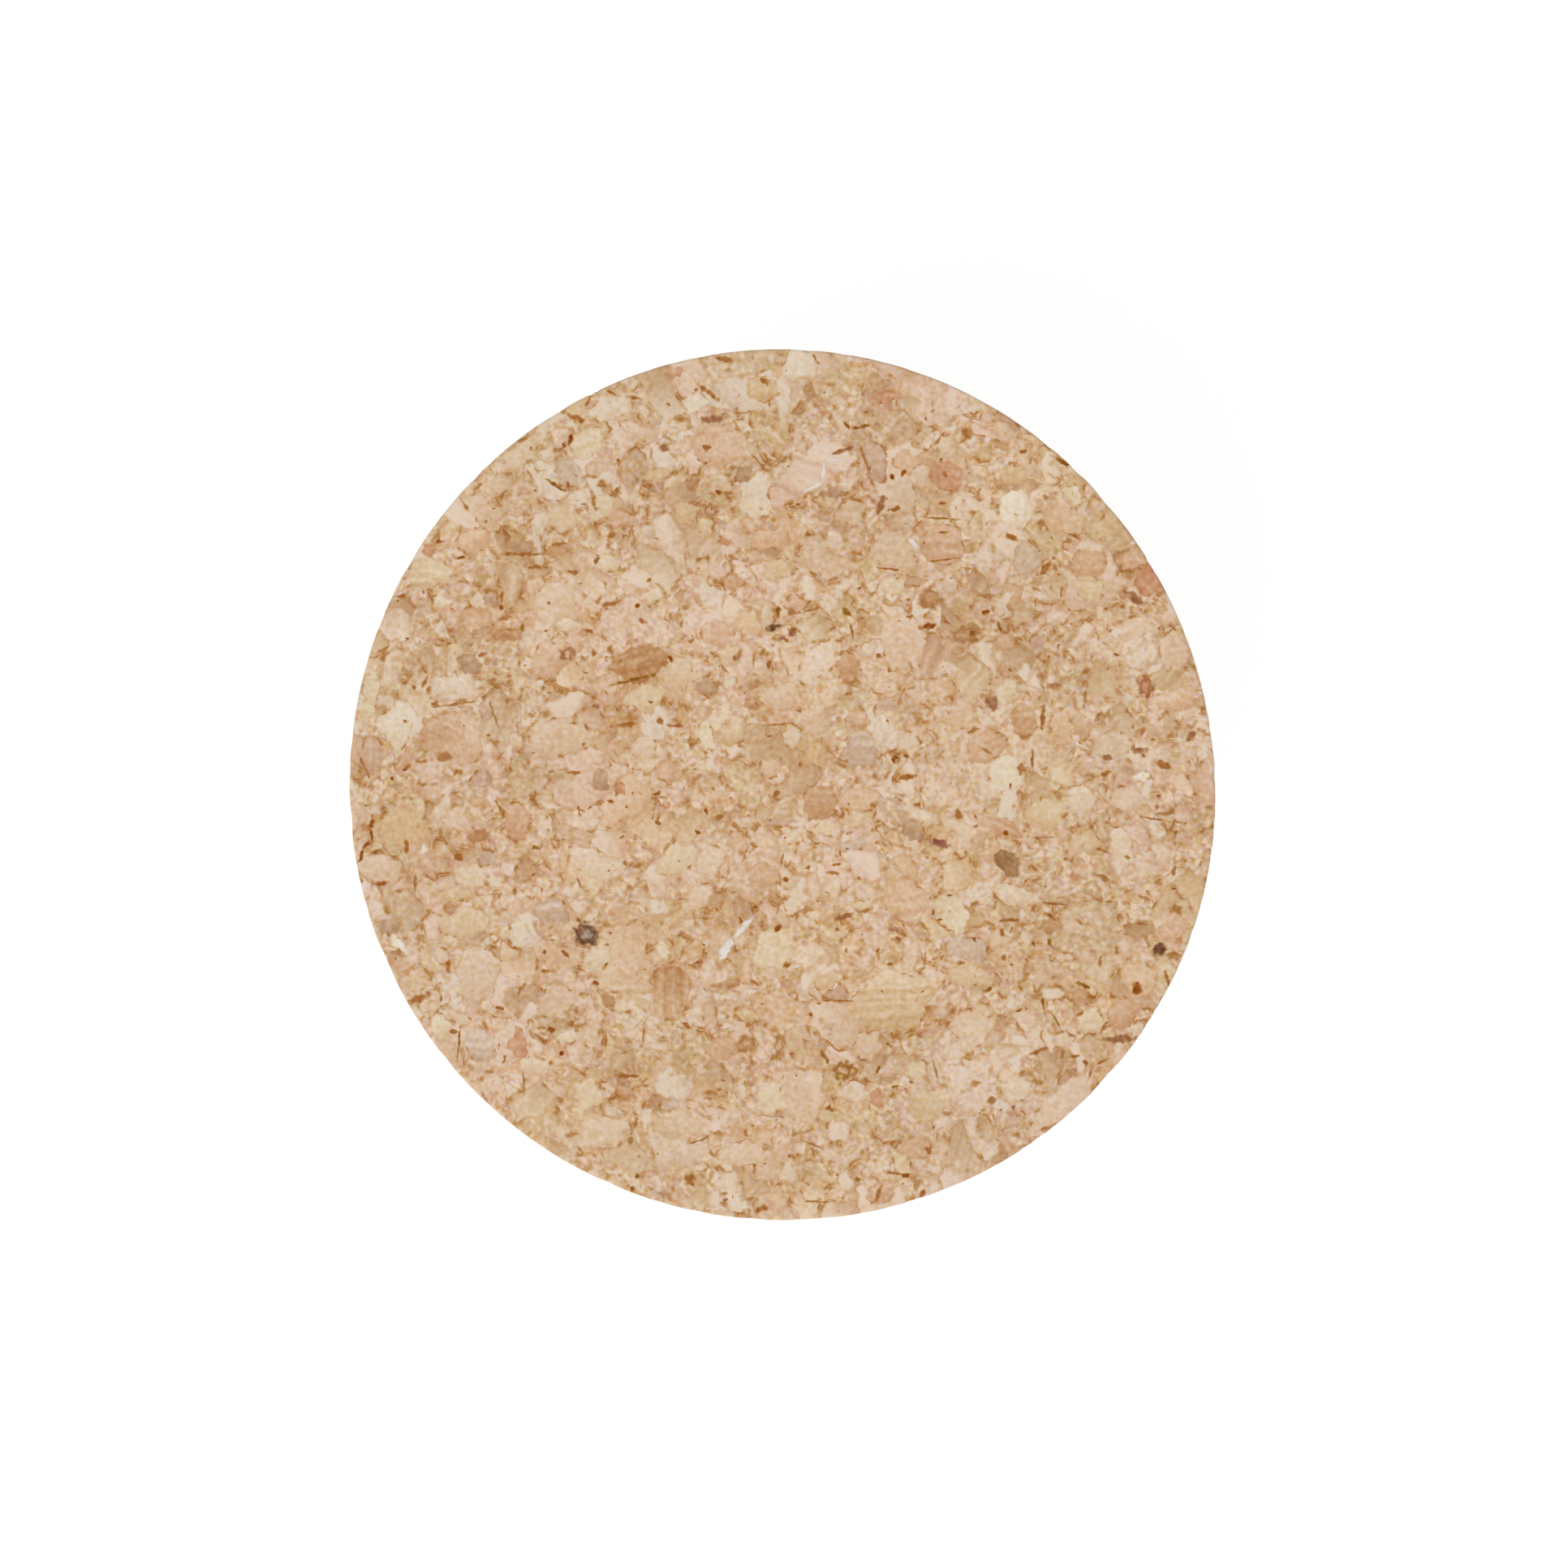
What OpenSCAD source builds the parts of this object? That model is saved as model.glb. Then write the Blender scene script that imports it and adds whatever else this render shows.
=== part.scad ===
// Tapered stopper, one solid piece of cork granules pressed and glued into a block and ground to shape.
// It stands on its narrow end, with the origin at the centre of that end and the wide end up.

/* [Plug] */
// Diameter of the side's cone where it meets the top face, before the rim is rounded
top_d = 50; // [30:0.5:120]
// Diameter of the side's cone where it meets the bottom face, before the rim is rounded
bottom_d = 44; // [26:0.5:114]
// Height from the bottom face to the top face
height = 30; // [15:0.5:60]

/* [Rims] */
// Radius that rounds the rim of the top face
top_rim_r = 0.2; // [0.2:0.1:3]
// Radius that rounds the rim of the bottom face, which leads into the neck
bottom_rim_r = 0.8; // [0.2:0.1:3]

/* [Hidden] */

// Angle of the side from the vertical
taper = atan((top_d - bottom_d) / 2 / height);
// Steps in each rim's round
rim_steps = 6;
// Sides of the turned body
turned_sides = 180;
cork_tan = [0.80, 0.67, 0.54];

// Centre of the round that touches both the flat face at z and the side.
// corner_r is the cone's radius in that face, corner_angle the inside angle of the section there,
// and inwards is +1 where the body lies above the face and -1 where it lies below.
function rim_centre(corner_r, z, rim_r, corner_angle, inwards) =
    [corner_r - rim_r / tan(corner_angle / 2), z + inwards * rim_r];

// Points of a round from one facing angle to another
function rim_round(centre, rim_r, from_angle, to_angle) =
    [for (i = [0 : rim_steps])
        let (a = from_angle + (to_angle - from_angle) * i / rim_steps)
        centre + rim_r * [cos(a), sin(a)]];

// Half section of the stopper, from the bottom's centre round to the top's centre
function plug_section() =
    let (
        low = rim_centre(bottom_d / 2, 0, bottom_rim_r, 90 + taper, 1),
        high = rim_centre(top_d / 2, height, top_rim_r, 90 - taper, -1)
    )
    concat(
        [[0, 0]],
        rim_round(low, bottom_rim_r, -90, -taper),
        rim_round(high, top_rim_r, -taper, 90),
        [[0, height]]
    );

module stopper() {
    color(cork_tan)
        rotate_extrude($fn = turned_sides)
            polygon(plug_section());
}

stopper();
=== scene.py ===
"""Looks of a tapered stopper of pressed cork granules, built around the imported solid."""
import math
import bpy
import numpy as np
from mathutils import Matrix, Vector, noise


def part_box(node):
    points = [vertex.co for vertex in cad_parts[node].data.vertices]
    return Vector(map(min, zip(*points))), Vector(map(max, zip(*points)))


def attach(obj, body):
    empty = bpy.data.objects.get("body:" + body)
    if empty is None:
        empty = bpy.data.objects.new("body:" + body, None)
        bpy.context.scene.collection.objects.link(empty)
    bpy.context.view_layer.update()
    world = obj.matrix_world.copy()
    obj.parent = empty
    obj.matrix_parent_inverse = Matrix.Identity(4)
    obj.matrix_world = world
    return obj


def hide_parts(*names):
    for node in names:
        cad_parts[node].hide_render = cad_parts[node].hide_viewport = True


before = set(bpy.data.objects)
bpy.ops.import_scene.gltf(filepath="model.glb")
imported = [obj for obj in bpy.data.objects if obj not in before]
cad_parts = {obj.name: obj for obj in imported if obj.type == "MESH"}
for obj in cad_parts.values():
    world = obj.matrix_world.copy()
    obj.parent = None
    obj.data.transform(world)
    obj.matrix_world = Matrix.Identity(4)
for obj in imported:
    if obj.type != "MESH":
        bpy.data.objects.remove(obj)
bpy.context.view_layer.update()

MM = 0.001

# ---------------------------------------------------------------- the plug's section, in metres
low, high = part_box("stopper")
HEIGHT = high[2] - low[2]
TOP_R = (high[1] - low[1]) / 2
TAPER = 0.1                     # radius that the side loses for each metre down
TOP_RIM_R = 0.2 * MM
BOTTOM_RIM_R = 0.8 * MM
TOP_SPANS = 212                 # faces across the top, which shows the finest relief
BOTTOM_SPANS = 106
SIDE_RINGS = 80
RIM_STEPS = 4
SAME_PLACE = 1e-6               # how near counts as on the rim

# ---------------------------------------------------------------- how the skin lies flat, for painting
LONG_STRIP_FACES = 314          # faces of the side, out of its whole round, in the longer strip
LONG_STRIP_TURN = math.tau * LONG_STRIP_FACES / (4 * BOTTOM_SPANS)
# Each strip's left, right, foot and top, and each disc's centre and radius, in the unit square
LONG_STRIP = (0.007, 0.993, 0.02, 0.335)
SHORT_STRIP = (0.655, 0.993, 0.345, 0.645)
TOP_DISC = (0.325, 0.675, 0.318)
BOTTOM_DISC = (0.822, 0.822, 0.17)

# ---------------------------------------------------------------- wear
WORN_IN = 1.5 * MM              # how far in from the side the skin gives way
LUMP = 1.1 * MM                 # size of the lumps that roughen the side
LUMP_DEEP = 0.07 * MM
CHIP_TALL = 0.9 * MM            # how far down the side a chip fades out
# Where the round is ground out of true: direction and spread in degrees, depth in mm
FLATS = ((32, 29, 0.50), (165, 35, 0.10))
# Chips in the top rim: direction and spread in degrees, depth in mm
CHIPS = (
    (122, 1.0, 0.05), (185, 0.8, 0.10), (204, 1.2, 0.08), (318, 1.0, 0.08), (41, 1.0, 0.08),
    (246, 0.8, 0.07))


def plug_rings():
    """Radius and height of each ring from the top face's edge down to the bottom face's."""
    lean = math.atan(TAPER)
    rings = []
    for i in range(RIM_STEPS + 1):
        turn = math.pi / 2 - (math.pi / 2 + lean) * i / RIM_STEPS
        rings.append((TOP_R - TOP_RIM_R + TOP_RIM_R * math.cos(turn),
                      HEIGHT - TOP_RIM_R + TOP_RIM_R * math.sin(turn)))
    side_r, side_z = rings[-1]
    corner_r = side_r - TAPER * side_z
    centre_r = corner_r - BOTTOM_RIM_R / math.tan((math.pi / 2 + lean) / 2)
    seat_z = BOTTOM_RIM_R - BOTTOM_RIM_R * math.sin(lean)
    for i in range(1, SIDE_RINGS):
        z = side_z + (seat_z - side_z) * i / SIDE_RINGS
        rings.append((side_r + TAPER * (z - side_z), z))
    for i in range(RIM_STEPS + 1):
        turn = -lean - (math.pi / 2 - lean) * i / RIM_STEPS
        rings.append((centre_r + BOTTOM_RIM_R * math.cos(turn),
                      BOTTOM_RIM_R + BOTTOM_RIM_R * math.sin(turn)))
    return rings


# ---------------------------------------------------------------- modelling
def pick_edges(obj, test):
    """Leaves edit mode with only the edges selected whose two ends pass a test on their place."""
    bpy.ops.mesh.select_mode(type="EDGE")
    bpy.ops.mesh.select_all(action="DESELECT")
    bpy.ops.object.mode_set(mode="OBJECT")
    places = [vertex.co for vertex in obj.data.vertices]
    for edge in obj.data.edges:
        edge.select = all(test(places[end]) for end in edge.vertices)
    bpy.ops.object.mode_set(mode="EDIT")


def add_ring(count, radius, z):
    """A ring of edges, in edit mode and selected."""
    bpy.ops.mesh.primitive_circle_add(vertices=count, radius=radius, fill_type="NOTHING")
    bpy.ops.transform.translate(value=(0, 0, z))
    bpy.ops.object.transform_apply(location=True)
    bpy.ops.object.mode_set(mode="EDIT")
    bpy.ops.mesh.select_all(action="SELECT")
    return bpy.context.object


def draw_out(rings):
    """Extrudes the selected ring through the rings that follow it."""
    for (from_r, from_z), (to_r, to_z) in zip(rings, rings[1:]):
        bpy.ops.mesh.extrude_edges_move(TRANSFORM_OT_translate={"value": (0, 0, to_z - from_z)})
        bpy.ops.transform.resize(value=(to_r / from_r, to_r / from_r, 1), center_override=(0, 0, 0))


def turned_plug():
    """The whole stopper as one closed skin: a fine top, then a coarser side and bottom."""
    bpy.ops.object.select_all(action="DESELECT")
    rings = plug_rings()
    rim, side = rings[:RIM_STEPS], rings[RIM_STEPS:]
    plug = add_ring(4 * TOP_SPANS, *rim[0])
    bpy.ops.mesh.fill_grid(span=TOP_SPANS)
    pick_edges(plug, lambda place: math.hypot(place.x, place.y) > rim[0][0] - SAME_PLACE)
    draw_out(rim)
    bpy.ops.object.mode_set(mode="OBJECT")
    bpy.ops.object.select_all(action="DESELECT")
    add_ring(4 * BOTTOM_SPANS, *side[0])
    draw_out(side)
    bpy.ops.mesh.fill_grid(span=BOTTOM_SPANS)
    bpy.ops.object.mode_set(mode="OBJECT")
    plug.select_set(True)
    bpy.context.view_layer.objects.active = plug
    bpy.ops.object.join()
    plug.name = "pressed_cork_plug"
    bpy.ops.object.mode_set(mode="EDIT")
    joint = {round(rim[-1][1], 6), round(side[0][1], 6)}
    pick_edges(plug, lambda place: round(place.z, 6) in joint)
    bpy.ops.mesh.bridge_edge_loops()
    bpy.ops.mesh.select_all(action="SELECT")
    bpy.ops.mesh.normals_make_consistent(inside=False)
    bpy.ops.object.mode_set(mode="OBJECT")
    return plug


def points_of(items, name):
    """A point of each of a mesh's items, such as its place or its middle, as rows of an array."""
    values = np.empty(3 * len(items))
    items.foreach_get(name, values)
    return values.reshape(-1, 3)


def counts_of(items, name):
    """A whole number of each of a mesh's items."""
    values = np.empty(len(items), int)
    items.foreach_get(name, values)
    return values


def in_strip(strip, along, up):
    """Places in a strip, from shares of the way along it and up it."""
    left, right, foot, top = strip
    return np.array((left + (right - left) * along, foot + (top - foot) * up))


def lay_out(piece):
    """Flattens the skin for painting: the top's disc, the bottom's disc and the side in two strips."""
    mesh = piece.data
    sides = counts_of(mesh.polygons, "loop_total")
    x, y, z = points_of(mesh.vertices, "co")[counts_of(mesh.loops, "vertex_index")].T
    mid_x, mid_y, mid_z = np.repeat(points_of(mesh.polygons, "center"), sides, axis=0).T
    rings = plug_rings()
    side_top, side_foot = rings[RIM_STEPS][1], rings[-1 - RIM_STEPS][1]

    middle_turn = np.arctan2(mid_y, mid_x) % math.tau
    turn = middle_turn + (np.arctan2(y, x) - middle_turn + math.pi) % math.tau - math.pi
    level = (z - side_foot) / (side_top - side_foot)
    further = (turn - LONG_STRIP_TURN) / (math.tau - LONG_STRIP_TURN)
    flat = np.where(middle_turn < LONG_STRIP_TURN, in_strip(LONG_STRIP, turn / LONG_STRIP_TURN, level),
                    in_strip(SHORT_STRIP, further, level))
    # each disc has its rim's round spread out flat about it, and the bottom's is seen from below
    for disc, drop, (centre_u, centre_v, radius), sense in (
            (mid_z > side_top, HEIGHT - z, TOP_DISC, 1),
            (mid_z < side_foot, z, BOTTOM_DISC, -1)):
        spread = np.hypot(x, y) + drop
        share = radius * spread / spread[disc].max()
        flat[0, disc] = (centre_u + sense * share * np.cos(turn))[disc]
        flat[1, disc] = (centre_v + share * np.sin(turn))[disc]
    mesh.uv_layers.new(name="OFBake").data.foreach_set("uv", flat.T.ravel())


def wear(piece):
    """Grinds the round out of true, roughens the side and chips the top rim, always inwards."""
    mesh = piece.data
    places = points_of(mesh.vertices, "co")
    x, y, z = places.T
    radius = np.hypot(x, y)
    turn = np.degrees(np.arctan2(y, x))
    near_side = np.clip((radius - TOP_R + TAPER * (HEIGHT - z)) / WORN_IN + 1, 0, 1)

    def bumps(marks):
        total = np.zeros(len(turn))
        for centre, spread, depth in marks:
            off = (turn - centre + 180) % 360 - 180
            total += depth * MM * np.exp(-(off / spread) ** 2 / 2)
        return total

    lumps = np.array([noise.noise(Vector(place) / LUMP) for place in places])
    rough = LUMP_DEEP * np.clip(lumps, 0, 1) * near_side ** 2
    chips = bumps(CHIPS) * near_side * np.exp(-(HEIGHT - z) / CHIP_TALL)
    scale = 1 - bumps(FLATS) / TOP_R - (rough + chips) / np.maximum(radius, MM)
    places[:, 0] *= scale
    places[:, 1] *= scale
    mesh.vertices.foreach_set("co", places.ravel())
    mesh.update()


# ---------------------------------------------------------------- node helpers
class Wiring:
    """Adds nodes to a shader tree or a geometry tree and links what they are given."""

    def __init__(self, tree):
        self.tree = tree

    def node(self, kind, inputs, **settings):
        made = self.tree.nodes.new(kind)
        for name, value in settings.items():
            setattr(made, name, value)
        for name, value in inputs.items():
            if isinstance(value, bpy.types.NodeSocket):
                self.tree.links.new(value, made.inputs[name])
            else:
                made.inputs[name].default_value = value
        return made

    def calc(self, operation, *values, clamp=False):
        inputs = dict(enumerate(values))
        return self.node("ShaderNodeMath", inputs, operation=operation, use_clamp=clamp).outputs[0]

    def swing(self, value, amount):
        """A 0 to 1 value's departure from its middle, times an amount."""
        return self.calc("MULTIPLY", self.calc("SUBTRACT", value, 0.5), amount)

    def vector(self, operation, *values):
        names = {"SCALE": ("Vector", "Scale")}.get(operation, range(len(values)))
        made = self.node("ShaderNodeVectorMath", dict(zip(names, values)), operation=operation)
        return made.outputs["Value" if operation in ("DOT_PRODUCT", "LENGTH") else "Vector"]

    def join(self, x=0.0, y=0.0, z=0.0):
        return self.node("ShaderNodeCombineXYZ", {0: x, 1: y, 2: z}).outputs[0]

    def parts(self, vector):
        return self.node("ShaderNodeSeparateXYZ", {"Vector": vector}).outputs

    def blend(self, factor, first, second, kind="RGBA"):
        """Goes from a first colour, vector or number to a second while the factor goes from 0 to 1."""
        first_in, second_in, out = {"RGBA": (6, 7, 2), "VECTOR": (4, 5, 1), "FLOAT": (2, 3, 0)}[kind]
        inputs = {0: factor, first_in: first, second_in: second}
        return self.node("ShaderNodeMix", inputs, data_type=kind).outputs[out]

    def fade(self, value, start, end, low=0.0, high=1.0):
        """Goes smoothly from low to high while a value goes from start to end."""
        if start > end:
            start, end, low, high = end, start, high, low
        inputs = {"Value": value, "From Min": start, "From Max": end, "To Min": low, "To Max": high}
        return self.node("ShaderNodeMapRange", inputs, interpolation_type="SMOOTHSTEP").outputs[0]

    def cloud(self, place, size, detail=2.0, roughness=0.5):
        """Noise whose lumps are about the given size."""
        inputs = {"Vector": place, "Scale": 1 / size, "Detail": detail, "Roughness": roughness}
        return self.node("ShaderNodeTexNoise", inputs).outputs

    def draw(self, seed):
        """A number and a colour drawn at random for each value of a vector."""
        return self.node("ShaderNodeTexWhiteNoise", {"Vector": seed}).outputs

    def cells(self, place, size):
        """Cells of about the given size, each about its own middle."""
        return self.node("ShaderNodeTexVoronoi", {"Vector": place, "Scale": 1 / size}).outputs

    def from_edge(self, place, size):
        """How far inside its cell's edge a place lies."""
        inputs = {"Vector": place, "Scale": 1 / size}
        found = self.node("ShaderNodeTexVoronoi", inputs, feature="DISTANCE_TO_EDGE")
        return self.calc("MULTIPLY", found.outputs["Distance"], size)

    def shades(self, factor, stops):
        """Colour ramp through (place, colour) stops."""
        made = self.node("ShaderNodeValToRGB", {"Fac": factor})
        elements = made.color_ramp.elements
        while len(elements) < len(stops):
            elements.new(1.0)
        for element, (place, colour) in zip(elements, stops):
            element.position = place
            element.color = colour
        return made.outputs["Color"]

    def curve(self, value, bends):
        """A smooth curve through (value, result) bends, the first at 0 and the last at 1."""
        made = self.node("ShaderNodeFloatCurve", {"Factor": 1.0, "Value": value})
        points = made.mapping.curves[0].points
        points[0].location = bends[0]
        points[1].location = bends[-1]
        for bend in bends[1:-1]:
            points.new(*bend)
        made.mapping.update()
        return made.outputs[0]


def shade(red, green, blue):
    """A colour as a screen shows it, made linear."""
    return tuple(((value / 255 + 0.055) / 1.055) ** 2.4 for value in (red, green, blue)) + (1.0,)


CORK = {                        # shades of granules of one depth, which a deeper one darkens
    "tan": shade(206, 173, 139),
    "pink": shade(209, 173, 140),
    "rose": shade(208, 172, 142),
    "orange": shade(210, 173, 135),
    "yellow": shade(207, 175, 133),
    "straw": shade(205, 175, 138),
    "grey": shade(202, 174, 144),
    "rust": shade(209, 174, 131),
}


# ---------------------------------------------------------------- flakes and flecks of the top face
FLAKE_SHADES = {                # shades of the listed flakes
    "milk": shade(229, 214, 190),
    "cream": shade(221, 201, 173),
    "ivory": shade(218, 195, 161),
    "blush": shade(219, 194, 165),
    "bisque": shade(216, 187, 155),
    "buff": shade(212, 181, 147),
    "sand": shade(212, 183, 144),
    "honey": shade(211, 178, 136),
    "apricot": shade(213, 177, 141),
    "fawn": shade(206, 167, 131),
    "mauve": shade(199, 164, 134),
    "ash": shade(203, 175, 147),
    "biscuit": shade(197, 154, 113),
    "russet": shade(198, 146, 109),
    "umber": shade(187, 140, 96),
    "olive": shade(188, 152, 117),
    "walnut": shade(164, 125, 86),
    "slate": shade(172, 152, 134),
}
FLAKES = {                      # x, y, length, width in mm, turn in degrees, strength of the grain
    "milk": (
        (20.4, 0.45, 1.3, 0.9, 0, 0), (-22.0, -9.2, 1.8, 0.8, -40, 0.2), (-20.6, -3.8, 0.6, 0.8, 0, 0)),
    "cream": (
        (0.9, 24.0, 2.2, 2.0, 20, 0), (-5.1, 21.8, 1.8, 1.1, 0, 0.1), (-1.6, 16.6, 2.2, 2.6, 15, 0),
        (1.4, 11.2, 1.1, 1.5, 20, 0.1), (-22.2, 3.3, 2.5, 3.0, -10, 0), (-19.7, 10.5, 1.2, 1.0, -20, 0),
        (-17.6, 10.5, 1.1, 1.2, 0, 0), (-13.9, 18.1, 1.0, 0.7, 30, 0), (12.8, 0.5, 2.1, 2.3, 20, 0),
        (13.4, 15.6, 2.1, 2.5, 15, 0.1), (-12.2, -6.0, 1.6, 0.8, 20, 0), (5.7, 3.4, 0.6, 1.1, 0, 0),
        (-3.1, 5.8, 0.8, 0.8, 0, 0), (-7.0, -9.5, 1.0, 1.1, 0, 0), (-12.3, -14.4, 1.5, 1.0, 20, 0),
        (-2.7, -24.0, 2.0, 1.1, -15, 0), (-13.4, -1.3, 1.2, 0.5, -20, 0),
        (-12.4, 9.2, 1.7, 0.7, 0, 0.3), (-15.1, -8.5, 1.4, 1.5, 0, 0)),
    "ivory": (
        (-23.7, 5.2, 0.9, 3.6, -12, 0.3), (6.3, 11.3, 1.4, 1.3, 10, 0),
        (-11.3, 19.4, 1.7, 2.4, -30, 0.2), (-10.2, 16.1, 1.3, 1.4, 0, 0), (-10.1, 12.6, 1.4, 1.3, 0, 0),
        (-17.9, -5.2, 2.2, 1.4, -10, 0.2), (12.6, 5.3, 1.7, 1.4, 25, 0),
        (16.4, 16.6, 1.7, 1.0, -40, 0.1), (2.3, -2.6, 1.4, 1.0, -15, 0.1), (4.4, -6.9, 1.4, 0.8, 0, 0),
        (-7.8, 5.0, 2.6, 1.4, 8, 0.3), (-6.2, -4.3, 3.0, 1.7, 12, 0.1), (9.6, -7.3, 3.1, 1.8, -60, 0.2),
        (13.4, -17.5, 1.7, 1.7, 0, 0.2), (-11.3, -17.9, 1.7, 2.1, 0, 0.2),
        (-19.6, -13.8, 1.2, 1.7, 20, 0.2), (-10.7, -9.9, 1.5, 1.9, 0, 0.1),
        (17.5, -13.6, 1.6, 1.9, 0, 0.3), (7.6, -16.4, 1.5, 1.3, 0, 0), (-7.5, 10.9, 1.4, 1.2, 0, 0.2),
        (-4.4, 2.7, 1.0, 2.0, 0, 0.2), (-0.6, -17.9, 2.4, 2.2, 0, 0.1),
        (-0.6, -9.5, 2.8, 2.5, 20, 0.2)),
    "blush": (
        (2.0, 7.0, 3.3, 1.8, 38, 0.1), (0.3, 2.8, 1.1, 1.6, 0, 0), (7.1, 2.5, 1.8, 1.0, 0, 0.1),
        (-8.1, 2.1, 1.5, 1.5, 0, 0.1), (0.5, -6.8, 1.2, 1.7, -10, 0.1), (4.1, -17.5, 1.9, 1.3, 0, 0.1),
        (-19.0, 5.6, 3.2, 1.7, 0, 0), (-9.9, 21.5, 2.7, 1.7, 10, 0.1), (-10.9, -4.5, 3.7, 1.8, -8, 0),
        (17.0, -0.9, 1.8, 1.9, 0, 0), (19.3, -3.6, 1.3, 2.4, 8, 0.1), (9.4, 6.6, 1.2, 1.1, 0, 0),
        (13.0, -6.4, 3.0, 1.2, -12, 0.2), (12.6, 10.4, 0.8, 1.6, -25, 0.2),
        (7.6, -1.7, 2.8, 0.9, -22, 0.2), (16.0, -14.6, 1.6, 1.0, 20, 0), (10.9, 15.9, 1.9, 0.9, 0, 0.2),
        (16.5, -8.2, 1.2, 1.0, 0, 0), (2.9, -6.0, 0.9, 1.4, 0, 0), (-22.3, 9.0, 2.1, 2.1, 90, 0.4),
        (2.8, 13.8, 1.5, 1.3, 0, 0.6), (10.0, -2.6, 2.6, 0.9, -25, 0.2)),
    "bisque": (
        (-13.0, 10.4, 2.5, 3.0, 25, 0.2), (-11.0, 11.3, 2.2, 1.5, -50, 0.2),
        (-14.2, 11.4, 1.7, 1.0, 10, 0.1), (-0.2, 5.0, 2.5, 1.7, 5, 0.1),
        (-2.6, -21.2, 3.2, 1.8, 0, 0.1), (-10.4, -19.9, 4.0, 1.9, 5, 0.2),
        (16.1, -18.3, 5.6, 1.9, 42, 0), (-14.0, -16.2, 2.5, 1.2, -5, 0.1),
        (1.6, -10.0, 2.3, 1.9, 42, 0.8), (-4.2, -4.5, 1.7, 1.9, 0, 0.1), (-4.8, -6.3, 1.7, 1.7, 0, 0.1),
        (20.6, 9.0, 2.8, 1.3, 5, 0.2), (0.9, -17.6, 3.7, 3.2, -25, 0.2), (6.7, 8.0, 2.8, 3.3, 0, 0.1),
        (-12.8, 2.7, 3.4, 2.8, 0, 0.1), (10.7, -14.1, 2.7, 2.3, 0, 0.2),
        (-11.4, -2.1, 2.3, 1.4, 0, 0.2), (-15.0, 18.9, 3.2, 1.4, 38, 0.1),
        (-17.6, -10.9, 3.0, 3.2, 0, 0.2), (19.8, -1.0, 2.3, 1.7, 0, 0.2),
        (-12.5, 15.3, 2.3, 1.9, 0, 0.2), (4.9, -14.9, 1.9, 1.8, 0, 0.2), (22.4, 7.6, 1.8, 2.4, 15, 0.2),
        (-23.1, -4.8, 2.6, 2.0, 0, 0.2)),
    "buff": (
        (-6.1, 6.0, 1.9, 2.4, 0, 0.1), (6.3, 13.2, 2.8, 2.3, -8, 0.2), (-16.3, 17.2, 1.7, 1.4, 40, 0.1),
        (18.9, 2.2, 2.3, 1.7, 0, 0.3), (-13.0, -12.4, 2.4, 2.0, 0, 0.4), (1.9, 3.3, 2.0, 1.4, 0, 0.1),
        (-1.0, -3.3, 1.9, 1.1, 0, 0.1), (-0.8, 0.8, 1.3, 1.4, 0, 0.2), (-16.9, 15.4, 2.2, 1.5, 25, 0.1),
        (-3.7, -9.3, 1.4, 1.9, -20, 0.4), (9.3, 19.3, 1.3, 1.5, 30, 0),
        (-6.0, -19.5, 3.3, 1.6, -8, 0.2), (-10.7, 18.0, 1.6, 1.2, 0, 0.2),
        (3.8, 15.5, 2.0, 1.6, 0, 0.3), (0.6, -14.6, 1.8, 1.6, 0, 0.2)),
    "sand": (
        (-20.4, 12.0, 3.0, 1.9, 0, 0.9), (-18.4, -7.9, 3.4, 1.6, 0, 0.2),
        (15.0, -1.7, 2.9, 1.7, -8, 0.2), (-3.0, 2.9, 1.8, 1.4, 0, 0.1), (6.4, -12.2, 5.5, 3.5, 4, 0.7),
        (8.3, -18.3, 2.7, 2.0, -5, 0.3), (17.5, 11.2, 2.1, 1.5, 0, 0.2),
        (10.5, -11.0, 2.5, 1.5, -20, 0.2), (-18.8, -6.3, 3.1, 0.8, 5, 0.2),
        (-5.6, 15.5, 2.0, 1.4, 0, 0.2), (-4.6, 14.7, 1.4, 1.2, 0, 0.1), (-0.4, 12.2, 1.8, 1.4, 0, 0.2),
        (-3.0, 7.3, 1.6, 1.4, 0, 0.3), (2.6, -11.2, 1.8, 1.2, 20, 0.2)),
    "honey": (
        (1.6, 1.8, 0.9, 1.8, -30, 0.2), (-1.3, 22.5, 2.0, 1.6, 0, 0.2), (-21.5, -2.6, 3.5, 2.3, 0, 0.2),
        (-0.5, 23.6, 1.0, 0.9, 90, 0.4), (-7.2, 17.7, 2.3, 0.8, 5, 0.2), (13.1, 17.7, 2.2, 1.2, 0, 0.3),
        (-2.0, 9.1, 1.7, 1.7, 0, 0.2)),
    "apricot": (
        (-17.7, 9.5, 1.7, 1.7, 90, 0.4), (-17.8, 13.9, 2.7, 1.5, 15, 0.3),
        (-12.9, -9.9, 3.0, 1.8, -5, 0.2), (10.0, 3.8, 1.5, 2.4, -20, 0.1),
        (15.8, 3.2, 1.4, 2.5, 0, 0.3), (22.2, 4.8, 2.8, 1.6, 15, 0.2), (16.0, 15.3, 2.6, 2.0, -35, 0.2),
        (20.3, -11.2, 2.2, 2.1, 0, 0.1), (7.0, -6.4, 3.0, 2.2, 0, 0.3), (-0.9, 14.0, 2.5, 1.7, 10, 0.2),
        (-3.7, 19.4, 3.2, 2.8, -30, 0.1), (4.3, -1.0, 2.7, 1.5, 0, 0.2), (7.0, 18.4, 1.5, 1.7, 0, 0.2)),
    "fawn": (
        (-15.2, -2.1, 1.8, 2.3, 0, 0.3), (-3.6, -15.2, 2.1, 1.4, 10, 0.2),
        (17.1, 3.2, 1.4, 1.7, 0, 0.1), (19.3, -13.1, 1.8, 1.8, 20, 0.3),
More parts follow.
